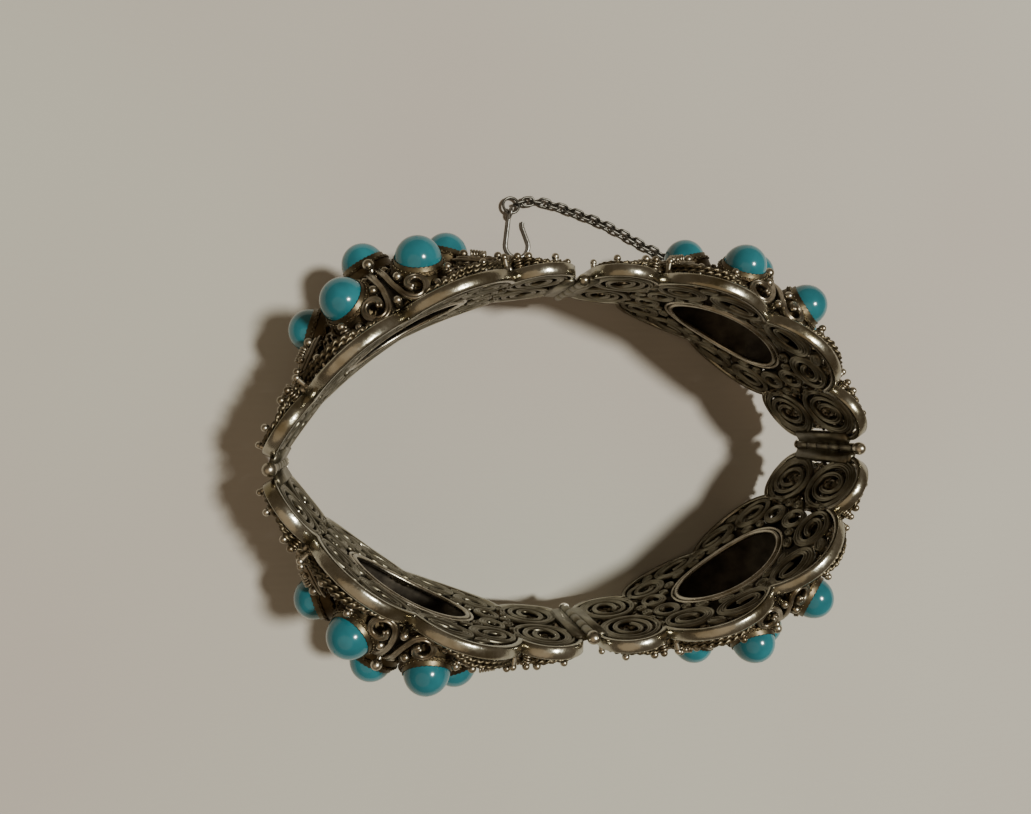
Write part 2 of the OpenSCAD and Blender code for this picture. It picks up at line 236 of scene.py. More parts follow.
def double_section(width, height):
    """A pair of wires on a flat base."""
    right = [(a * width / 2, b * height) for a, b in PAIR_HALF]
    left = [(-a, b) for a, b in right]
    return [left[0], *right, (0, PAIR_GROOVE * height), *left[:0:-1]]


def ball(shape, centre, r, detail):
    rings, sides = detail
    points = [(0, 0, r)]
    for k in range(1, rings):
        a = math.pi * k / rings
        for j in range(sides):
            b = 2 * math.pi * j / sides
            points.append((r * math.sin(a) * math.cos(b), r * math.sin(a) * math.sin(b), r * math.cos(a)))
    points.append((0, 0, -r))
    last = len(points) - 1
    faces = []
    for k in range(rings - 2):
        for j in range(sides):
            low = 1 + k * sides
            faces.append([low + j, low + sides + j, low + sides + (j + 1) % sides, low + (j + 1) % sides])
    for j in range(sides):
        shape.cap([0, 1 + j, 1 + (j + 1) % sides])
        shape.cap([last, last - sides + (j + 1) % sides, last - sides + j])
    shape.add(np.array(points) + np.asarray(centre), faces)


def lathe(shape, place, profile, sides, teeth=0.0):
    """Turns a profile of (radius, height) points about z and puts it at place, a 4x4 matrix.
    teeth lifts every other point of the highest ring."""
    profile = np.asarray(profile, float)
    angle = 2 * np.pi * np.arange(sides) / sides
    r, h = profile[:, :1], profile[:, 1:]
    points = np.stack([r * np.cos(angle), r * np.sin(angle), h + 0 * angle], -1)
    if teeth:
        top = int(np.argmax(profile[:, 1]))
        points[top, ::2, 2] += teeth
    n = len(profile)
    i = np.arange(n - 1)[:, None]
    j = np.arange(sides)[None, :]
    beside = (j + 1) % sides
    quads = np.stack([i * sides + j, i * sides + beside, (i + 1) * sides + beside, (i + 1) * sides + j], -1)
    shape.add(moved(points.reshape(-1, 3), place), quads.reshape(-1, 4))


def drum(shape, place, r, low, high, sides):
    """A closed cylinder along z, between two heights."""
    lathe(shape, place, [(0.0, low), (r, low), (r, high), (0.0, high)], sides)


def moved(points, place):
    place = np.array(place)
    return np.asarray(points, float) @ place[:3, :3].T + place[:3, 3]


# Points that smooth_curve sets between two given ones before it resamples
BETWEEN = 12


def smooth_curve(points, step):
    """Catmull-Rom curve through points, resampled at about the given step."""
    p = np.asarray(points, float)
    p = np.concatenate([[2 * p[0] - p[1]], p, [2 * p[-1] - p[-2]]])
    out = []
    for i in range(1, len(p) - 2):
        t = np.linspace(0, 1, BETWEEN, endpoint=False)[:, None]
        a, b, c, d = p[i - 1], p[i], p[i + 1], p[i + 2]
        out.append(0.5 * (2 * b + (c - a) * t + (2 * a - 5 * b + 4 * c - d) * t ** 2
                          + (3 * b - a - 3 * c + d) * t ** 3))
    return even_steps(np.concatenate(out + [p[-2:-1]]), step)


def even_steps(line, step, closed=False):
    """The line resampled at even steps of about the given length."""
    line = np.asarray(line, float)
    if closed:
        line = np.concatenate([line, line[:1]])
    run = np.concatenate([[0], np.cumsum(np.linalg.norm(np.diff(line, axis=0), axis=1))])
    count = max(2, int(round(run[-1] / step)))
    at = np.linspace(0, run[-1], count + 1)
    out = np.stack([np.interp(at, run, line[:, k]) for k in range(line.shape[1])], 1)
    return out[:-1] if closed else out


# Places on a panel

def laid(flat, height):
    """Lays a flat curve of (x, z) points at a height above the inner face. Returns points and normals."""
    flat = np.asarray(flat, float)
    lean = np.arcsin(flat[:, 0] / PLATE_R)
    normal = np.stack([np.sin(lean), np.cos(lean), 0 * lean], 1)
    points = normal * (PLATE_R + np.asarray(height).reshape(-1, 1))
    points[:, 1] += PLATE_CY
    points[:, 2] = flat[:, 1]
    return points, normal


def plate_place(x, z, height):
    """Place on the plate, with +z away from the wrist and +x along the panel."""
    lean = math.asin(x / PLATE_R)
    turn = Matrix.Rotation(-lean, 4, "Z") @ Matrix.Rotation(math.radians(-90), 4, "X")
    point = laid([(x, z)], height)[0][0]
    return Matrix.Translation(point.tolist()) @ turn


def dome_place(tilt, turn, height=0.0):
    """Place on the dome, with +z away from the dome's centre."""
    spin = (Matrix.Rotation(math.radians(-turn), 4, "Y") @ Matrix.Rotation(math.radians(-tilt), 4, "Z")
            @ Matrix.Rotation(math.radians(-90), 4, "X"))
    return Matrix.Translation((0, DOME_CY, 0)) @ spin @ Matrix.Translation((0, 0, height))


# Least sine of the tilt for which on_dome turns a distance to the side into an angle
LEAST_SINE = 0.15


def on_dome(flat, turn, height):
    """Lays a flat curve of (side, down) points on the dome: down from its top, towards the angle turn."""
    flat = np.asarray(flat, float)
    reach = DOME_R + np.asarray(height).reshape(-1)
    tilt = flat[:, 1] / DOME_R
    swing = math.radians(turn) + flat[:, 0] / (DOME_R * np.maximum(np.sin(tilt), LEAST_SINE))
    normal = np.stack([np.sin(tilt) * np.cos(swing), np.cos(tilt), np.sin(tilt) * np.sin(swing)], 1)
    points = normal * reach[:, None]
    points[:, 1] += DOME_CY
    return points, normal


# Outline of a panel

def arc(cx, cz, r, start, end):
    count = max(3, int(abs(math.radians(end - start)) * r / STEP))
    angles = np.radians(np.linspace(start, end, count))
    return np.stack([cx + r * np.cos(angles), cz + r * np.sin(angles)], 1)


def notch_angles(r_end, r_lobe):
    """Angles, at the end lobe's and the large lobe's centres, of the point where the two arcs meet."""
    gap = END_LOBE_X - LOBE_X
    along = (r_end ** 2 - r_lobe ** 2 + gap ** 2) / (2 * gap)
    rise = math.sqrt(max(0.0, r_end ** 2 - along ** 2))
    return math.degrees(math.atan2(rise, -along)), math.degrees(math.atan2(rise, gap - along))


def lobe_arc(inset, over):
    """The large lobe's arc at +x and +z, from the end lobe to the middle notch and some degrees over."""
    r = LOBE_R - inset
    low = notch_angles(END_LOBE_R - inset, r)[1]
    high = math.degrees(math.acos(-LOBE_X / r))
    return arc(LOBE_X, LOBE_Z, r, low - over, high + over)


def end_band(inset, over):
    """The end lobes' arcs at +x with the straight piece between them, some degrees over at the notches."""
    r = END_LOBE_R - inset
    high = notch_angles(r, LOBE_R - inset)[0] + over
    upper = arc(END_LOBE_X, LOBE_Z, r, 0, high)
    upper[:, 0] = np.minimum(upper[:, 0], END_X - inset)
    lower = (upper * (1, -1))[::-1]
    return even_steps(np.concatenate([lower, upper]), STEP)


def inset_loop(inset):
    """A closed loop that runs along the outline at a distance, rounded at the notches."""
    end_ray, lobe_ray = notch_angles(END_LOBE_R, LOBE_R)
    end = arc(END_LOBE_X, LOBE_Z, END_LOBE_R - inset, 0, end_ray)
    end[:, 0] = np.minimum(end[:, 0], END_X - inset)
    notch = (END_LOBE_X + END_LOBE_R * math.cos(math.radians(end_ray)),
             LOBE_Z + END_LOBE_R * math.sin(math.radians(end_ray)))
    round_notch = arc(*notch, inset, end_ray - 180, lobe_ray - 180)
    top_ray = math.degrees(math.acos(-LOBE_X / LOBE_R))
    lobe = arc(LOBE_X, LOBE_Z, LOBE_R - inset, lobe_ray, top_ray)
    middle = (0, LOBE_Z + LOBE_R * math.sin(math.radians(top_ray)))
    round_middle = arc(*middle, inset, top_ray - 180, -90)
    quarter = np.concatenate([end, round_notch, lobe, round_middle])
    half = np.concatenate([quarter, (quarter * (-1, 1))[::-1]])
    return even_steps(np.concatenate([half, (half * (1, -1))[::-1]]), ROPE_STEP, closed=True)


# Wire work

# Points of a spiral's turn before it is resampled, and the least half size at its inner end
SPIRAL_POINTS = 48
SPIRAL_EYE = 0.25


def spiral(a, b, turns, pitch, angle=0.0, start=0.0, sense=1, step=STEP):
    """A flat oval spiral: one closed round at its edge, then turns that close in by the pitch."""
    count = int((turns + 1) * SPIRAL_POINTS)
    t = np.linspace(0, turns + 1, count)
    shrink = pitch * np.maximum(0, t - 1)
    theta = math.radians(start) + sense * 2 * np.pi * t
    x = np.maximum(a - shrink, SPIRAL_EYE) * np.cos(theta)
    z = np.maximum(b - shrink, SPIRAL_EYE) * np.sin(theta)
    lean = math.radians(angle)
    flat = np.stack([x * math.cos(lean) - z * math.sin(lean), x * math.sin(lean) + z * math.cos(lean)], 1)
    return even_steps(flat, step)


# Spirals of the back, one quarter: centre x, centre z, half length, half height, lean of the long axis,
# turns, start angle and sense
BACK_SPIRALS = [
    (17.7, 4.85, 3.8, 4.65, 0, 2.1, 200, 1),
    (10.6, 7.7, 3.35, 2.8, -38, 1.5, 30, -1),
    (4.1, 10.75, 3.8, 2.65, -10, 1.4, 150, 1),
    (11.5, 2.4, 1.8, 2.2, 0, 0.7, 90, 1),
    (8.7, 11.6, 1.4, 0.8, -45, 0.4, 0, 1),
    (13.9, 1.1, 0.8, 1.0, 0, 0.0, 0, 1),
    (7.6, 5.5, 1.15, 0.8, -50, 0.0, 0, 1),
    (4.9, 7.7, 1.35, 0.7, -22, 0.0, 0, 1),
    (1.9, 8.05, 1.2, 0.6, -6, 0.0, 0, 1),
    (9.3, 3.9, 0.75, 0.95, 0, 0.0, 0, 1),
    (14.2, 3.5, 0.6, 0.85, 0, 0.0, 0, 1),
    (14.1, 6.3, 0.6, 0.9, 20, 0.0, 0, 1),
]
# Small fillers of the back that stand on the middle line across the panel: x, z, half length, half height
BACK_MIDDLE = [(0.0, 9.4, 0.75, 0.6), (0.0, 11.0, 0.7, 0.6)]
# Wires round the oval opening: distance from its edge, height, radius
OVAL_WIRES = [(0.3, 0.3, 0.34), (0.98, 0.35, 0.24)]


def back_scrolls():
    """The flat wire spirals that show inside the bracelet."""
    quarter = Shape()
    section = double_section(FLAT_W, FLAT_H)
    for x, z, a, b, angle, turns, start, sense in BACK_SPIRALS:
        flat = spiral(a - FLAT_W / 2, b - FLAT_W / 2, turns, FLAT_PITCH, angle, start, sense) + (x, z)
        path, normal = laid(flat, FLAT_H)
        sweep(quarter, path, -normal, section)
    shape = quarter.in_quarters()
    for x, z, a, b in BACK_MIDDLE:
        for sz in (1, -1):
            path, normal = laid(spiral(a, b, 0.0, FLAT_PITCH) + (x, sz * z), FLAT_H)
            sweep(shape, path, -normal, section)
    return shape


def oval_frame():
    """Round wires round the oval opening."""
    shape = Shape()
    angles = full_turn(96)
    for away, height, r in OVAL_WIRES:
        flat = np.stack([(OVAL_A + away) * np.cos(angles), (OVAL_B + away) * np.sin(angles)], 1)
        path, normal = laid(flat, height)
        sweep(shape, path, normal, round_section(r, 10), closed=True)
    return shape


# Section of the edge band: distance outwards from its middle as a share of half its thickness, and height
RIM_SECTION = [(-1.0, 0.12), (-0.7, 0.0), (0.5, 0.0), (0.9, 0.16), (1.0, 0.45), (1.05, 0.75), (1.0, 1.1),
               (0.8, 1.38), (0.4, RIM_H), (-0.7, RIM_H), (-1.0, 1.48)]
# Degrees by which the arcs of the large lobes and of the end lobes run on into the notches
LOBE_OVER = 1.5
END_OVER = 2.0


def rim():
    """The smooth edge band in arcs that butt against each other in the notches."""
    shape = Shape()
    half = RIM_T / 2
    for sx in (1, -1):
        for sz in (1, -1):
            add_band(shape, lobe_arc(half, LOBE_OVER) * (sx, sz), outward=-sx * sz)
        add_band(shape, end_band(half, END_OVER) * (sx, 1), outward=sx)
    return shape


def add_band(shape, flat, outward):
    """Sweeps the band's section along a flat curve, with its bulge outward."""
    if outward < 0:
        flat = flat[::-1]
    path, normal = laid(flat, 0.0)
    sweep(shape, path, normal, [(away * RIM_T / 2, height) for away, height in RIM_SECTION])


# Rope wires inside the edge band: distance from its outer face, usual height, height beside the notches
EDGE_ROPES = [(1.2, 1.9, 2.7), (1.3, 1.6, 2.2), (2.1, 1.35, 2.6), (3.0, 1.1, 1.3)]
# Distances from the middle where the ropes start to climb, are high, still are, and are low again
ROPE_CLIMB = (5.0, 8.0, 15.5, 18.5)
# Rope spirals of the front, one quarter: centre x, centre z, half length, half height, turns, start angle
FRONT_SPIRALS = [(17.5, 4.75, 2.9, 3.7, 2.2, 180), (11.9, 7.7, 2.1, 1.7, 1.0, 0)]
FRONT_PITCH = 0.95
FRONT_HEIGHT = 1.3


def front_ropes():
    """Rope wires inside the edge band, and rope spirals on the front of the end lobes."""
    shape = Shape()
    for inset, usual, high in EDGE_ROPES:
        flat = inset_loop(inset)
        path, normal = laid(flat, np.interp(np.abs(flat[:, 0]), ROPE_CLIMB, (usual, high, high, usual)))
        rope_loop(shape, path, normal, ROPE_R)
    quarter = Shape()
    for x, z, a, b, turns, start in FRONT_SPIRALS:
        flat = spiral(a, b, turns, FRONT_PITCH, 0, start, -1, ROPE_STEP) + (x, z)
        path, normal = laid(flat, FRONT_HEIGHT)
        sweep(quarter, path, normal, rope_section(ROPE_R), twist=ROPE_TURN)
    shape.join(quarter.in_quarters())
    return shape


def dome():
    """The closed dome, from the plate up to its top, and its inner face."""
    shape = Shape()
    outer = (DOME_R, np.linspace(DOME_EDGE, DOME_TOP, 22))
    inner = (DOME_R - DOME_WALL, np.linspace(DOME_TOP, DOME_EDGE, 18))
    for r, tilts in (outer, inner):
        profile = [(r * math.sin(a), r * math.cos(a)) for a in np.radians(tilts)]
        lathe(shape, dome_place(0, 0), profile, DOME_SIDES)
    return shape


# Collars: radius and height above the dome at the foot and at the top, how far the side curves in, and the
# radius of the hole under the stone
COLLAR_FOOT = (4.1, -0.9)
COLLAR_TOP = (3.3, 1.8)
COLLAR_CURVE = 0.22
COLLAR_HOLE = 0.5
# Ropes round a collar: radius of the loop, height above the dome, radius of the rope
COLLAR_ROPES = [(3.86, 0.1, 0.24), (3.34, 1.5, 0.13)]


def collars():
    """The smooth cones under the stones, with a fine rope round the foot and the top."""
    shape = Shape()
    foot, top = np.array(COLLAR_FOOT), np.array(COLLAR_TOP)
    cone = []
    for t in np.linspace(0, 1, 8):
        r, height = foot + (top - foot) * t
        cone.append((r - COLLAR_CURVE * math.sin(math.pi * t), DOME_R + height))
    cone.append((COLLAR_HOLE, DOME_R + top[1]))
    angles = full_turn(80)
    for tilt, turn in SEATS:
        place = dome_place(tilt, turn)
        up = np.array(place)[:3, 2]
        lathe(shape, place, cone, 40)
        for r, height, size in COLLAR_ROPES:
            loop = np.stack([r * np.cos(angles), r * np.sin(angles), 0 * angles + DOME_R + height], 1)
            rope_loop(shape, moved(loop, place), up, size)
    return shape


# Bezels: profile as radius and height above the dome, number of sides and depth of the teeth
BEZEL = [(3.3, 1.45), (3.16, 1.7), (3.02, 1.83), (3.0, 2.33), (2.96, 2.45), (2.9, 2.37), (2.88, 1.95)]
BEZEL_SIDES = 64
BEZEL_TEETH = 0.14
# Row of grains at a bezel's foot: number, radius of the row, height above the dome, radius of a grain
BEZEL_GRAINS = (34, 3.2, 1.75, 0.17)


def bezels():
    """The thin toothed bands that hold the stones, each with a row of fine grains at its foot."""
    shape = Shape()
    profile = [(r, DOME_R + height) for r, height in BEZEL]
    count, row_r, row_height, grain_r = BEZEL_GRAINS
    for tilt, turn in SEATS:
        place = dome_place(tilt, turn)
        lathe(shape, place, profile, BEZEL_SIDES, teeth=-BEZEL_TEETH)
        for k in range(count):
            a = 2 * math.pi * k / count
            centre = place @ Vector((row_r * math.cos(a), row_r * math.sin(a), DOME_R + row_height))
            ball(shape, centre, grain_r, FINE)
    return shape


# One scroll: down between two stones, then outwards into a hook that ends in a small ring.
# Distance to the side and distance down the dome from its top.
HOOK = [
    (0.62, 4.8), (0.6, 6.6), (0.6, 8.4), (0.6, 10.2), (0.72, 11.6), (1.0, 13.0), (1.7, 14.0), (2.7, 14.15),
    (3.5, 13.4), (3.5, 12.4), (2.8, 11.75), (2.0, 11.9), (1.65, 12.6), (2.0, 13.2),
]
# Heights of the scroll above the dome at its start and at its ring, which stands before the collar's foot
HOOK_RISE = (0.3, 1.7)
HOOK_W = 0.78
HOOK_H = 0.72
HOOK_STEP = STEP * 0.6


def scrolls():
    """Paired wires that run down the dome between two stones and end in hooks and rings."""
    shape = Shape()
    section = double_section(HOOK_W, HOOK_H)
    for turn in (90, -90):
        for side in (1, -1):
            flat = smooth_curve(HOOK, HOOK_STEP) * (side, 1)
            path, normal = on_dome(flat, turn, np.linspace(*HOOK_RISE, len(flat)))
            sweep(shape, path, normal, section)
    return shape


# Beads beside the scrolls: distance to the side, distance down the dome, height, radius
SCROLL_BEADS = [(0.0, 4.5, 1.9, 0.75), (1.5, 10.4, 1.7, 0.6), (0.0, 13.2, 1.5, 0.55),
                (5.0, 13.4, 1.2, 0.55), (4.4, 14.6, 0.8, 0.45), (6.2, 13.4, 0.9, 0.6)]
SCROLL_STEM = 0.3


def scroll_beads():
    """Round beads on short stems, between and beside the scrolls."""
    shape = Shape()
    for turn in (90, -90):
        for side in (1, -1):
            for across, down, height, r in SCROLL_BEADS:
                # A bead on the middle line is drawn once, for the first of the two sides
                if across or side > 0:
                    path, normal = on_dome([(side * across, down)], turn, height)
                    foot = path[0] - normal[0] * height
                    ball(shape, path[0], r, LARGE)
                    sweep(shape, [foot, path[0]], (0.0, 0.0, 1.0), round_section(SCROLL_STEM, 8))
    return shape


# Nested rope loops on the dome, the outer one first: length, width, radius of the rope, height
DOME_LEAF = [(3.9, 2.9, 0.3, 0.35), (2.5, 1.5, 0.24, 0.75)]
DOME_LEAF_ROOT = 11.0
DOME_LEAF_TURNS = (30, 150, 210, 330)


def leaf(length, width):
    """Closed loop along +x, widest nearer its root at x = 0."""
    t = full_turn(60)
    x = length * (0.5 - 0.5 * np.cos(t))
    z = width / 2 * np.sin(t) * (0.75 + 0.35 * np.cos(t))
    return even_steps(np.stack([x, z], 1), ROPE_STEP, closed=True)


def leaves():
    """Nested rope loops on the dome between the corner stones and the end stones."""
    shape = Shape()
    longest = DOME_LEAF[0][0]
    for turn in DOME_LEAF_TURNS:
        for length, width, size, height in DOME_LEAF:
            flat = leaf(length, width)
            down = DOME_LEAF_ROOT + flat[:, 0] + 0.5 * (longest - length)
            path, normal = on_dome(np.stack([flat[:, 1], down], 1), turn, height)
            rope_loop(shape, path, normal, size)
    return shape


# Points of a coil's turn, and sides of its wire
COIL_POINTS = 10
COIL_SIDES = 6


def coil(shape, place, length, r, wire, pitch):
    """A small spring along z, centred on place."""
    turns = length / pitch
    t = np.linspace(0, 1, int(turns * COIL_POINTS))
    angle = 2 * np.pi * turns * t
    line = np.stack([r * np.cos(angle), r * np.sin(angle), length * (t - 0.5)], 1)
    axis = np.array(place)[:3, 2]
    sweep(shape, moved(line, place), axis, round_section(wire, COIL_SIDES))


# Coils on a core: depth of the wire's middle in the coil, radius of the wire, pitch, sides of the core
FINE_COIL = (0.15, 0.17, 0.36, 12)
BROAD_COIL = (0.2, 0.21, 0.4, 16)
CORE_DEPTH = 0.25


def filled_coil(shape, place, length, r, kind):
    """A coil of radius r that is wound on a core."""
    depth, wire, pitch, sides = kind
    coil(shape, place, length, r - depth, wire, pitch)
    drum(shape, place, r - CORE_DEPTH, -length / 2, length / 2, sides)


# Coils that lie in the trough inside the band: x, z, lean of the coil in degrees from x, length
TROUGH_COILS = [(13.0, 8.6, 40, 2.0), (2.2, 11.8, 25, 2.0), (10.2, 11.4, -40, 1.9)]
# The same for all of them: height, radius, radius of the wire, pitch
TROUGH_COIL = (1.5, 0.45, 0.2, 0.42)
# Upright coils between the dome and the band, one quarter: x, z, height of the middle, radius, length
UPRIGHT_COILS = [(6.6, 12.3, 2.2, 0.6, 2.4), (13.1, 8.2, 2.3, 0.6, 2.4), (15.2, 8.4, 1.9, 0.6, 2.0)]
# Ball on an upright coil: its middle above the coil's end, its radius
COIL_BALL = (0.3, 0.5)
# Coils across the end ornament: x, height, radius, length
END_COILS = [(11.5, 2.45, 1.0, 4.8), (12.0, 3.8, 0.8, 3.6), (15.0, 2.2, 0.85, 4.2), (18.5, 1.9, 0.7, 3.2)]


def coils():
    """Springs of fine wire in the trough and across the end lobes."""
    shape = Shape()
    quarter = Shape()
    height, r, wire, pitch = TROUGH_COIL
    for x, z, lean, length in TROUGH_COILS:
        place = plate_place(x, z, height) @ Matrix.Rotation(math.radians(-lean), 4, "Z")
        place = place @ Matrix.Rotation(math.radians(90), 4, "Y")
        coil(quarter, place, length, r, wire, pitch)
    above, ball_r = COIL_BALL
    for x, z, height, r, length in UPRIGHT_COILS:
        place = plate_place(x, z, height)
        filled_coil(quarter, place, length, r, FINE_COIL)
        ball(quarter, place @ Vector((0, 0, length / 2 + above)), ball_r, MIDDLING)
    shape.join(quarter.in_quarters())
    for sx in (1, -1):
        for x, height, r, length in END_COILS:
            place = plate_place(sx * x, 0, height) @ Matrix.Rotation(math.radians(90), 4, "X")
            filled_coil(shape, place, length, r, BROAD_COIL)
    return shape


# Balls of the end ornament: x, height, radius
END_BALLS = [(16.8, 2.2, 0.9), (16.8, 3.4, 0.7), (20.3, 1.6, 0.75)]
# Balls between the dome and the edge band, one quarter: x, z, height, radius
SIDE_BALLS = [(17.5, 4.6, 2.2, 0.85), (14.1, 7.3, 1.9, 0.8), (4.5, 12.3, 1.3, 0.65), (8.6, 12.2, 1.3, 0.65),
              (11.7, 10.4, 1.4, 0.7), (19.6, 7.9, 2.7, 0.5), (16.4, 8.5, 3.0, 0.55), (13.6, 8.9, 3.3, 0.5),
              (10.6, 11.5, 2.9, 0.5), (21.6, 5.2, 2.5, 0.45)]
# Grains on the dome: tilt, turn, radius
DOME_GRAINS = [
    (20.5, 72, 0.55), (20.5, 108, 0.55), (24, 90, 0.42), (37, 78, 0.3), (37, 102, 0.3),
    (40.5, 70.5, 0.5), (40.5, 109.5, 0.5), (56, 90, 0.55), (58.5, 79, 0.5), (58.5, 101, 0.5),
    (47.5, 66, 0.36), (47.5, 114, 0.36), (61, 64, 0.5), (61, 116, 0.5), (62, 50, 0.5), (62, 130, 0.5),
    (62, 40, 0.58), (62, 140, 0.58), (63, 22, 0.5), (63, 158, 0.5), (22, 30, 0.5), (22, 150, 0.5),
    (61, 12, 0.42), (61, 168, 0.42),
]
# Grains inside the edge band, one quarter: x, z, radius, height
TROUGH_GRAINS = [
    (1.2, 10.7, 0.45, 1.4), (6.6, 13.0, 0.42, 1.5), (2.9, 12.7, 0.4, 1.4), (10.4, 11.6, 0.4, 1.5),
    (12.9, 9.2, 0.42, 1.5), (12.9, 6.4, 0.5, 1.4), (15.6, 8.6, 0.42, 1.5), (18.2, 9.1, 0.45, 1.5),
    (20.6, 7.2, 0.4, 1.5), (20.9, 2.2, 0.42, 1.4), (15.0, 3.3, 0.45, 1.4), (13.0, 3.6, 0.45, 1.4),
]
# Height of a dome grain's middle above the dome, as a share of its radius
GRAIN_LIFT = 0.6
# Stem of a side ball: radius and height at its foot and above it, and its radius in the ball
BALL_STEM = [(0.5, 0.3), (0.35, 0.8)]
BALL_STEM_R = 0.4
# Round plates behind the large spirals, one quarter: x, z, radius, and the heights of their two faces
SPIRAL_PLATES = [(17.7, 4.85, 1.9), (13.9, 7.2, 1.3), (11.2, 2.4, 1.2), (14.6, 1.6, 1.0)]
SPIRAL_PLATE_FACES = (0.75, 0.95)


def grains():
    """Round grains of many sizes, the large ones on short stems, and the plates that carry some of them."""
    shape = Shape()
    for sign in (1, -1):
        for tilt, turn, r in DOME_GRAINS:
            place = dome_place(tilt, sign * turn, DOME_R + GRAIN_LIFT * r)
            ball(shape, place.translation, r, SMALL)
    quarter = Shape()
    for x, z, r, height in TROUGH_GRAINS:
        ball(quarter, laid([(x, z)], height)[0][0], r, SMALL)
    for x, z, height, r in SIDE_BALLS:
        ball(quarter, laid([(x, z)], height)[0][0], r, LARGE)
        lathe(quarter, plate_place(x, z, 0), BALL_STEM + [(BALL_STEM_R, height)], 10)
    for x, z, r in SPIRAL_PLATES:
        drum(quarter, plate_place(x, z, 0), r, *SPIRAL_PLATE_FACES, 24)
    shape.join(quarter.in_quarters())
    for sx in (1, -1):
        for x, height, r in END_BALLS:
            ball(shape, laid([(sx * x, 0)], height)[0][0], r, LARGE)
    return shape


# Rope rings of the end ornament: in each quarter their middle, with radius and height of each, and on the
# middle line x, half length, half width and height
CORNER_RINGS_AT = (17.5, 4.6)
CORNER_RINGS = [(1.35, 1.0), (2.2, 0.9)]
MIDDLE_RINGS = [(16.8, 1.7, 1.7, 1.8), (16.8, 1.1, 1.1, 2.2),
                (16.4, 4.5, 1.5, 0.85), (16.4, 4.4, 1.4, 1.35)]


def end_rings():
    """Rope rings round the balls of the end ornament, and the two long ones under it."""
    shape = Shape()
    angles = full_turn(60)
    circle = np.stack([np.cos(angles), np.sin(angles)], 1)
    quarter = Shape()
    for r, height in CORNER_RINGS:
        path, normal = laid(circle * r + CORNER_RINGS_AT, height)
        rope_loop(quarter, path, normal, ROPE_R)
    shape.join(quarter.in_quarters())
    for sx in (1, -1):
        for x, a, b, height in MIDDLE_RINGS:
            path, normal = laid(circle * (a, b) + (sx * x, 0), height)
            rope_loop(shape, path, normal, ROPE_R)
    return shape


# Raised leaves over the end lobes: middle, half length, half width and lean in degrees of the outline, how
# much wider it is towards +x, and two points (x, y) of its slope
LEAF_AT = (14.3, 5.3)
LEAF_A = 3.9
LEAF_B = 1.6
LEAF_LEAN = 10.0
LEAF_SWELL = 0.2
LEAF_TOP = ((10.6, 10.9), (18.3, 5.0))
# Plate of the leaf: share of the outline, height of its top above the slope, thickness
LEAF_PLATE = (0.94, -0.15, 0.9)
# Stem of the leaf: x and z, and its profile of (radius, height)
LEAF_STEM_AT = (13.8, 5.0)
LEAF_STEM = [(0.75, 0.3), (0.5, 0.9), (0.5, 3.2)]
# Loops on the leaf: share of the outline, height above the slope, wire radius
LEAF_LOOPS = [(1.0, -0.95, 0.26), (0.72, 0.0, 0.26), (0.4, 0.1, 0.24)]
# Smooth wires round the leaf: share of the outline, height above the slope
LEAF_WIRES = [(1.0, -0.2), (1.1, -0.55)]
LEAF_WIRE_R = 0.2
# Beads on the leaf: place along it and across it as shares of its half length and half width, radius
LEAF_BEADS = [(-0.85, 0.0, 0.6), (-0.3, 0.75, 0.42), (-0.3, -0.75, 0.42), (0.12, 0.0, 0.45),
              (0.98, 0.0, 0.5), (0.5, 0.85, 0.34), (0.5, -0.85, 0.34)]
# Height of a bead's middle above the slope, as a share of its radius
LEAF_BEAD_LIFT = 0.7
# Coils along the leaf: place as a share of its half length, height, radius, length
LEAF_COILS = [(-0.45, 0.55, 0.62, 2.0), (0.55, 0.45, 0.55, 1.9)]


def on_leaf(along, across):
    """x and z on the leaf, at shares of its half length and half width."""
    lean = math.radians(LEAF_LEAN)
    x, z = LEAF_A * along, LEAF_B * across
    return (LEAF_AT[0] + x * math.cos(lean) - z * math.sin(lean),
            LEAF_AT[1] + x * math.sin(lean) + z * math.cos(lean))


def leaf_outline(share):
    """The leaf's outline as (x, z) points, at a share of its size."""
    t = full_turn(90)
    return np.stack(on_leaf(share * np.cos(t), share * np.sin(t) * (1 + LEAF_SWELL * np.cos(t))), 1)


def on_slope(flat, height):
    """Lays a flat curve of (x, z) points on the leaf's slope. Returns points and the slope's normal."""
    flat = np.asarray(flat, float)
    (x0, y0), (x1, y1) = LEAF_TOP
    slope = (y1 - y0) / (x1 - x0)
    normal = unit(np.array([-slope, 1.0, 0.0]))
    points = np.stack([flat[:, 0], y0 + slope * (flat[:, 0] - x0), flat[:, 1]], 1)
    return points + normal * height, normal


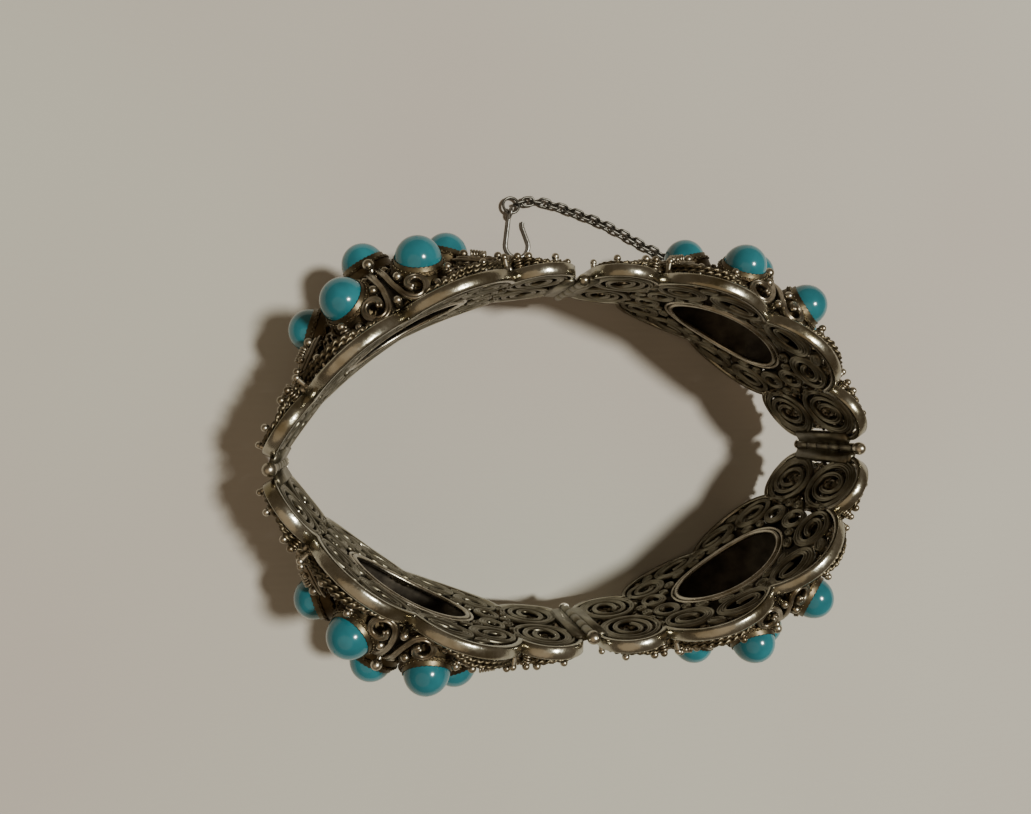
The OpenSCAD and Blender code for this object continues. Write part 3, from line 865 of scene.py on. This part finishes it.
def end_leaves():
    """The raised leaf of each quarter: a plate on a stem, with nested rope loops and beads on it."""
    quarter = Shape()
    share, height, thickness = LEAF_PLATE
    top, normal = on_slope(leaf_outline(share), height)
    under = top - normal * thickness
    n = len(top)
    k = np.arange(n)
    after = (k + 1) % n
    quarter.cap([n + i for i in range(n)])
    quarter.cap([n - 1 - i for i in range(n)])
    quarter.add(np.concatenate([under, top]), np.stack([k, k + n, after + n, after], 1))
    lathe(quarter, plate_place(*LEAF_STEM_AT, 0), LEAF_STEM, 14)
    for share, height, size in LEAF_LOOPS:
        path = even_steps(on_slope(leaf_outline(share), height)[0], ROPE_STEP, closed=True)
        rope_loop(quarter, path, normal, size)
    for share, height in LEAF_WIRES:
        path = on_slope(leaf_outline(share), height)[0]
        sweep(quarter, path, normal, round_section(LEAF_WIRE_R, 8), closed=True)
    for along, across, r in LEAF_BEADS:
        ball(quarter, on_slope([on_leaf(along, across)], LEAF_BEAD_LIFT * r)[0][0], r, LARGE)
    for along, height, r, length in LEAF_COILS:
        # A second point a little further along the leaf gives the direction of the coil
        middle, beyond = (Vector(on_slope([on_leaf(a, 0.0)], height)[0][0]) for a in (along, along + 0.1))
        turn = (beyond - middle).to_track_quat("Z", "Y").to_matrix().to_4x4()
        filled_coil(quarter, Matrix.Translation(middle) @ turn, length, r, FINE_COIL)
    return quarter.in_quarters()


# Profiles beside the hinge at +x, as (x, y) from its axis: the tab of a knuckle, a little shorter than the
# knuckle at both ends, and the strip with its half length
TAB = [(-1.7, 0.9), (-1.7, 1.5), (-0.8, 1.3), (-0.1, 0.66), (-0.6, 0.15)]
TAB_SHORTER = 0.1
STRIP = [(-2.0, 0.95), (-2.0, 1.55), (-0.75, 0.95), (-0.75, 0.2)]
STRIP_Z = 6.0


def knuckles():
    """Hinge knuckles of both ends with their tabs, and the strips that close the corners beside them."""
    shape = Shape()
    for sx, rows in ((1, INNER_ROWS), (-1, OUTER_ROWS)):
        for low, high in rows:
            z0, z1 = low * HINGE_L / 2, high * HINGE_L / 2
            add_knuckle(shape, sx, z0, z1)
            add_prism(shape, TAB, sx, z0 + TAB_SHORTER, z1 - TAB_SHORTER)
        add_prism(shape, STRIP, sx, -STRIP_Z, STRIP_Z)
    return shape


def add_knuckle(shape, sx, z0, z1):
    """A tube round the hinge axis with bevelled edges."""
    bore, edge = PIN_R + PIN_PLAY, KNUCKLE_EDGE
    below = [(bore, z0 + edge), (bore + edge, z0), (KNUCKLE_R - edge, z0), (KNUCKLE_R, z0 + edge)]
    above = [(KNUCKLE_R, z1 - edge), (KNUCKLE_R - edge, z1), (bore + edge, z1), (bore, z1 - edge)]
    lathe(shape, Matrix.Translation((sx * CHORD / 2, 0, 0)), below + above + below[:1], 20)


def add_prism(shape, profile, sx, z0, z1):
    """A straight piece beside a hinge."""
    outer = [(sx * (CHORD / 2 + x), y) for x, y in profile]
    n = len(outer)
    points = [(x, y, z0) for x, y in outer] + [(x, y, z1) for x, y in outer]
    walls = [[k, k + n, (k + 1) % n + n, (k + 1) % n] for k in range(n)]
    flip = -1 if sx < 0 else 1
    shape.cap(list(range(n))[::flip])
    shape.cap([k + n for k in range(n)][::-flip])
    shape.add(points, [w[::flip] for w in walls])


# Ring that holds the chain, on the upper right panel's edge band: its middle, radius and wire radius, then
# the drop of solder at its foot: its middle as measured from the ring's, and its radius
LUG_AT = (-6.2, 8.7, -13.1)
LUG_R = 0.85
LUG_WIRE = 0.22
SOLDER_FROM_LUG = (0, -0.7, -0.8)
SOLDER_R = 0.45


def chain_ring():
    """The ring in which the chain hangs, with a drop of solder at its foot."""
    shape = Shape()
    angles = full_turn(40)
    loop = np.stack([0 * angles, LUG_R * np.cos(angles), LUG_R * np.sin(angles)], 1) + LUG_AT
    sweep(shape, loop, (1.0, 0.0, 0.0), round_section(LUG_WIRE, 10), closed=True)
    ball(shape, np.array(LUG_AT) + SOLDER_FROM_LUG, SOLDER_R, MIDDLING)
    return shape


# Materials

# Depth of every bump, in metres
BUMP_DEPTH = 0.0001


def clouded(name, scale, detail, tones, places):
    """A material whose colour drifts between two tones, which stand at two places of the noise.
    Returns the material, its shader and its coordinates."""
    material = bpy.data.materials.new(name)
    material.use_nodes = True
    nodes, links = material.node_tree.nodes, material.node_tree.links
    shader = nodes["Principled BSDF"]
    coordinates = nodes.new("ShaderNodeTexCoord").outputs["Object"]
    noise = nodes.new("ShaderNodeTexNoise")
    noise.inputs["Scale"].default_value = scale
    noise.inputs["Detail"].default_value = detail
    links.new(coordinates, noise.inputs["Vector"])
    ramp = nodes.new("ShaderNodeValToRGB")
    for element, tone, place in zip(ramp.color_ramp.elements, tones, places):
        element.position = place
        element.color = (*tone, 1)
    links.new(noise.outputs["Fac"], ramp.inputs["Fac"])
    links.new(ramp.outputs["Color"], shader.inputs["Base Color"])
    return material, shader, coordinates


def add_bump(material, shader, height, strength):
    """Dents in the surface, as deep as the output named height says."""
    nodes, links = material.node_tree.nodes, material.node_tree.links
    bump = nodes.new("ShaderNodeBump")
    bump.inputs["Strength"].default_value = strength
    bump.inputs["Distance"].default_value = BUMP_DEPTH
    links.new(height, bump.inputs["Height"])
    links.new(bump.outputs["Normal"], shader.inputs["Normal"])


# Silver: detail of its patches, half the width of the passage between bright and tarnished, how much
# smoother and rougher than its roughness it gets in places, and scale, detail and strength of the dents
PATCH_DETAIL = 4.0
TONE_SPREAD = 0.16
SMOOTHER = 0.09
ROUGHER = 0.12
DENT_SCALE = 1800.0
DENT_DETAIL = 3.0
DENT_STRENGTH = 0.25


def metal(name, colour, tarnish, roughness, patch=420.0, share=0.5):
    """Worn silver: a bright and a tarnished tone in soft patches, with fine dents.
    patch is the scale of the patches and share that of the tarnish."""
    places = (share - TONE_SPREAD, share + TONE_SPREAD)
    material, shader, coordinates = clouded(name, patch, PATCH_DETAIL, (tarnish, colour), places)
    shader.inputs["Metallic"].default_value = 1.0
    nodes, links = material.node_tree.nodes, material.node_tree.links
    dents = nodes.new("ShaderNodeTexNoise")
    dents.inputs["Scale"].default_value = DENT_SCALE
    dents.inputs["Detail"].default_value = DENT_DETAIL
    links.new(coordinates, dents.inputs["Vector"])
    spread = nodes.new("ShaderNodeMapRange")
    spread.inputs["To Min"].default_value = roughness - SMOOTHER
    spread.inputs["To Max"].default_value = roughness + ROUGHER
    links.new(dents.outputs["Fac"], spread.inputs["Value"])
    links.new(spread.outputs["Result"], shader.inputs["Roughness"])
    add_bump(material, shader, dents.outputs["Fac"], strength=DENT_STRENGTH)
    return material


def turquoise():
    """Polished blue-green stone, faintly clouded."""
    tones = ((0.01, 0.1, 0.124), (0.018, 0.168, 0.204))
    material, shader, _ = clouded("turquoise_stone", scale=260.0, detail=3.0, tones=tones,
                                  places=(0.3, 0.72))
    shader.inputs["Roughness"].default_value = 0.16
    shader.inputs["Coat Weight"].default_value = 0.25
    shader.inputs["Coat Roughness"].default_value = 0.05
    return material


def cloth():
    """Pale tablecloth with a fine weave."""
    tones = ((0.455, 0.41, 0.368), (0.475, 0.458, 0.4))
    material, shader, coordinates = clouded("pale_cloth", scale=9.0, detail=2.0, tones=tones,
                                            places=(0.35, 0.65))
    shader.inputs["Roughness"].default_value = 0.9
    weave = material.node_tree.nodes.new("ShaderNodeTexWave")
    weave.bands_direction = "Y"
    weave.inputs["Scale"].default_value = 260.0
    weave.inputs["Distortion"].default_value = 1.5
    material.node_tree.links.new(coordinates, weave.inputs["Vector"])
    add_bump(material, shader, weave.outputs["Fac"], strength=0.15)
    return material


RIM_SILVER = metal("rim_silver", (0.43, 0.41, 0.34), (0.185, 0.155, 0.092), 0.2, patch=260, share=0.47)
WIRE_SILVER = metal("wire_silver", (0.27, 0.25, 0.19), (0.14, 0.12, 0.08), 0.42)
# Rope wires: partly their own oxidised tone, partly painted shade. They are kept very dark so that the gaps
# of the pierced back show near black, as the shade behind them would make them.
ROPE_OXIDE_AND_PAINTED_SHADE = metal("rope_oxide_and_painted_shade", (0.18, 0.15, 0.10), (0.08, 0.062, 0.036), 0.42)
BROWN_SILVER = metal("brown_silver", (0.115, 0.09, 0.05), (0.06, 0.042, 0.024), 0.5, patch=330)
BEZEL_SILVER = metal("bezel_silver", (0.155, 0.13, 0.08), (0.075, 0.055, 0.033), 0.4)
DARK_SILVER = metal("dark_silver", (0.13, 0.11, 0.085), (0.06, 0.05, 0.04), 0.5)
ORNAMENT_SILVER = metal("ornament_silver", (0.36, 0.32, 0.25), (0.15, 0.115, 0.07), 0.34)
GRAIN_SILVER = metal("grain_silver", (0.50, 0.46, 0.38), (0.27, 0.235, 0.17), 0.28)
CHAIN_SILVER = metal("chain_silver", (0.16, 0.15, 0.13), (0.07, 0.065, 0.055), 0.4)
HOOK_SILVER = metal("hook_silver", (0.34, 0.33, 0.31), (0.18, 0.17, 0.15), 0.33)
TURQUOISE = turquoise()

# Finish of the nodes that stay, by the first word of their names
FINISHES = {"stone": TURQUOISE, "hinge": GRAIN_SILVER, "clasp": RIM_SILVER, "chain": CHAIN_SILVER,
            "jump": CHAIN_SILVER, "hook": HOOK_SILVER}
# Parts of a panel: name, function, material
PARTS = [
    ("rim", rim, RIM_SILVER),
    ("back_scrolls", back_scrolls, WIRE_SILVER),
    ("oval_frame", oval_frame, GRAIN_SILVER),
    # The front ropes carry painted shade as well as oxide: their very dark silver fills the gaps of the
    # back.
    ("front_ropes", front_ropes, ROPE_OXIDE_AND_PAINTED_SHADE),
    ("dome", dome, DARK_SILVER),
    ("collars", collars, BROWN_SILVER),
    ("bezels", bezels, BEZEL_SILVER),
    ("scrolls", scrolls, ORNAMENT_SILVER),
    ("scroll_beads", scroll_beads, GRAIN_SILVER),
    ("leaves", leaves, ORNAMENT_SILVER),
    ("coils", coils, ORNAMENT_SILVER),
    ("grains", grains, GRAIN_SILVER),
    ("end_rings", end_rings, ORNAMENT_SILVER),
    ("end_leaves", end_leaves, ORNAMENT_SILVER),
    ("knuckles", knuckles, WIRE_SILVER),
]


def panel_place(turn, side):
    at = (side[0] * HALF_X * MM, side[1] * HALF_Y * MM, HALF_W * MM)
    return Matrix.Translation(at) @ Matrix.Rotation(math.radians(turn), 4, "Z")


def add_piece(name, mesh, panel):
    short, body, turn, side = panel
    mesh.transform(panel_place(turn, side))
    piece = bpy.data.objects.new(f"{name}_{short}", mesh)
    bpy.context.collection.objects.link(piece)
    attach(piece, body)
    return piece


def add_panels():
    for name, make, material in PARTS:
        drawn = make().mesh(name, material)
        for panel in PANELS:
            piece = add_piece(name, drawn.copy(), panel)
            if name == "rim":
                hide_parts(f"panel_{panel[0]}")
    upper_right = PANELS[1]
    add_piece("chain_ring", chain_ring().mesh("chain_ring", CHAIN_SILVER), upper_right)


def finish_nodes():
    for name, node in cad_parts.items():
        finish = FINISHES.get(name.split("_")[0])
        if finish:
            for slot in node.material_slots:
                slot.material = finish


# Camera, floor and light

# Turns of the camera about x, y and z in degrees, the middle of the bracelet in its frame in millimetres,
# the focal length as a share of the picture's width, the sensor's width in millimetres and the nearest
# distance drawn in metres
CAMERA_TURNS = (-0.2, 11.81, 1.16)
CAMERA_OFFSET = (8.13, -6.70, 100.68)
FOCAL_SHARE = 719 / 1031
SENSOR = 36.0
CLIP_START = 0.005
# Half the side of the tablecloth, in metres
FLOOR_HALF = 0.6
# Area lights, aimed at the middle of the floor: name, place and size in metres, power in watts, colour
LIGHTS = [
    ("key", (0.46, 0.05, 1.16), 0.14, 18.6, (0.98, 0.98, 0.90)),
    ("fill", (-0.3, -0.25, 0.6), 0.9, 0.8, (1.0, 0.79, 0.54)),
]
# Light from all round
ROOM_COLOUR = (1.0, 0.80, 0.57)
ROOM_STRENGTH = 0.16


def add_camera():
    turns = [math.radians(a) for a in CAMERA_TURNS]
    view = (Matrix.Rotation(turns[2], 3, "Z") @ Matrix.Rotation(turns[1], 3, "Y")
            @ Matrix.Rotation(turns[0], 3, "X"))
    back = view.transposed()
    across, up, depth = CAMERA_OFFSET
    centre = back @ Vector((-across, -up, depth)) + Vector((0, 0, HALF_W))
    data = bpy.data.cameras.new("camera")
    data.sensor_width = SENSOR
    data.lens = SENSOR * FOCAL_SHARE
    data.clip_start = CLIP_START
    camera = bpy.data.objects.new("camera", data)
    bpy.context.collection.objects.link(camera)
    camera.matrix_world = Matrix.Translation(centre * MM) @ back.to_4x4()
    bpy.context.scene.camera = camera


def add_floor():
    corners = [(FLOOR_HALF * x, FLOOR_HALF * y, 0) for x, y in ((-1, -1), (1, -1), (1, 1), (-1, 1))]
    data = bpy.data.meshes.new("floor")
    data.from_pydata(corners, [], [(0, 1, 2, 3)])
    data.materials.append(cloth())
    floor = bpy.data.objects.new("floor", data)
    bpy.context.collection.objects.link(floor)


def add_light(name, at, size, power, colour):
    data = bpy.data.lights.new(name, "AREA")
    data.shape = "DISK"
    data.size = size
    data.energy = power
    data.color = colour
    light = bpy.data.objects.new(name, data)
    bpy.context.collection.objects.link(light)
    light.location = at
    aim = -light.location.normalized()
    light.rotation_euler = aim.to_track_quat("-Z", "Y").to_euler()


def add_world():
    world = bpy.data.worlds.new("room")
    world.use_nodes = True
    background = world.node_tree.nodes["Background"]
    background.inputs["Color"].default_value = (*ROOM_COLOUR, 1)
    background.inputs["Strength"].default_value = ROOM_STRENGTH
    bpy.context.scene.world = world


add_camera()
add_floor()
add_world()
for light in LIGHTS:
    add_light(*light)
add_panels()
finish_nodes()
